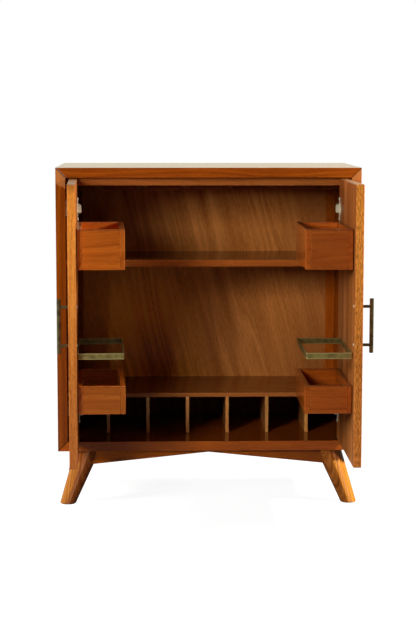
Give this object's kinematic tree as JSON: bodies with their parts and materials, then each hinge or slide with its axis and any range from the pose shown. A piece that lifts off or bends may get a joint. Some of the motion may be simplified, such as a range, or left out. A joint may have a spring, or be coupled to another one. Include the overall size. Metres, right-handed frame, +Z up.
{
  "type": "bar armoire",
  "caption": "Free-standing bar armoire: mitred wooden case on splayed legs, with two inset doors that carry boxes and bottle rings, bottle cubbies and a stemware rack",
  "frame": {"origin": "on the floor under the middle of the whole outline, with the doors open as pictured", "axes": "+X to the right of someone facing the doors, +Y to the rear, +Z up; metres"},
  "size_m": [0.864, 0.8432, 0.965],
  "materials": {
    "honey_wood": "solid wood, honey-brown stain, satin lacquer",
    "panel_veneer": "veneered panel with slanting grain, brown stain, satin lacquer",
    "aged_bronze": "aged bronze, brushed",
    "hinge_nickel": "nickel-plated steel, satin"
  },
  "bodies": {
    "case": {"case_top": "honey_wood", "case_bottom": "honey_wood", "case_side_left": "honey_wood", "case_side_right": "honey_wood", "back_panel": "panel_veneer", "corner_post_left": "honey_wood", "corner_post_right": "honey_wood", "top_rail": "honey_wood", "upper_shelf": "honey_wood", "wine_shelf": "honey_wood", "bottle_divider_1": "honey_wood", "bottle_divider_2": "honey_wood", "bottle_divider_3": "honey_wood", "bottle_divider_4": "honey_wood", "bottle_divider_5": "honey_wood", "bottle_divider_6": "honey_wood", "stemware_rack": "honey_wood", "rack_cleat_left": "honey_wood", "rack_cleat_right": "honey_wood", "rack_cleat_rear": "honey_wood", "leg_front_left": "honey_wood", "leg_front_right": "honey_wood", "leg_rear_left": "honey_wood", "leg_rear_right": "honey_wood", "apron_front": "honey_wood", "apron_rear": "honey_wood", "hinge_arm_upper_left": "hinge_nickel", "hinge_arm_lower_left": "hinge_nickel", "hinge_arm_upper_right": "hinge_nickel", "hinge_arm_lower_right": "hinge_nickel"},
    "left_door": {"door_left": "honey_wood", "door_box_upper_left_inner_wall": "honey_wood", "door_box_upper_left_outer_wall": "honey_wood", "door_box_upper_left_free_end": "honey_wood", "door_box_upper_left_hinge_end": "honey_wood", "door_box_upper_left_bottom": "honey_wood", "door_box_lower_left_inner_wall": "honey_wood", "door_box_lower_left_outer_wall": "honey_wood", "door_box_lower_left_free_end": "honey_wood", "door_box_lower_left_hinge_end": "honey_wood", "door_box_lower_left_bottom": "honey_wood", "bottle_ring_left": "aged_bronze", "handle_left": "aged_bronze", "hinge_cup_upper_left": "hinge_nickel", "hinge_cup_lower_left": "hinge_nickel"},
    "right_door": {"door_right": "honey_wood", "door_box_upper_right_inner_wall": "honey_wood", "door_box_upper_right_outer_wall": "honey_wood", "door_box_upper_right_free_end": "honey_wood", "door_box_upper_right_hinge_end": "honey_wood", "door_box_upper_right_bottom": "honey_wood", "door_box_lower_right_inner_wall": "honey_wood", "door_box_lower_right_outer_wall": "honey_wood", "door_box_lower_right_free_end": "honey_wood", "door_box_lower_right_hinge_end": "honey_wood", "door_box_lower_right_bottom": "honey_wood", "bottle_ring_right": "aged_bronze", "handle_right": "aged_bronze", "hinge_cup_upper_right": "hinge_nickel", "hinge_cup_lower_right": "hinge_nickel"}
  },
  "joints": [
    {"name": "left_door_hinge", "type": "hinge", "parent": "case", "child": "left_door", "pos_m": [-0.38675, -0.03638, 0.5595], "axis": [0, 0, -1], "range_deg": [-87.7, 17.3]},
    {"name": "right_door_hinge", "type": "hinge", "parent": "case", "child": "right_door", "pos_m": [0.38675, -0.03638, 0.5595], "axis": [0, 0, 1], "range_deg": [-90, 15]}
  ]
}
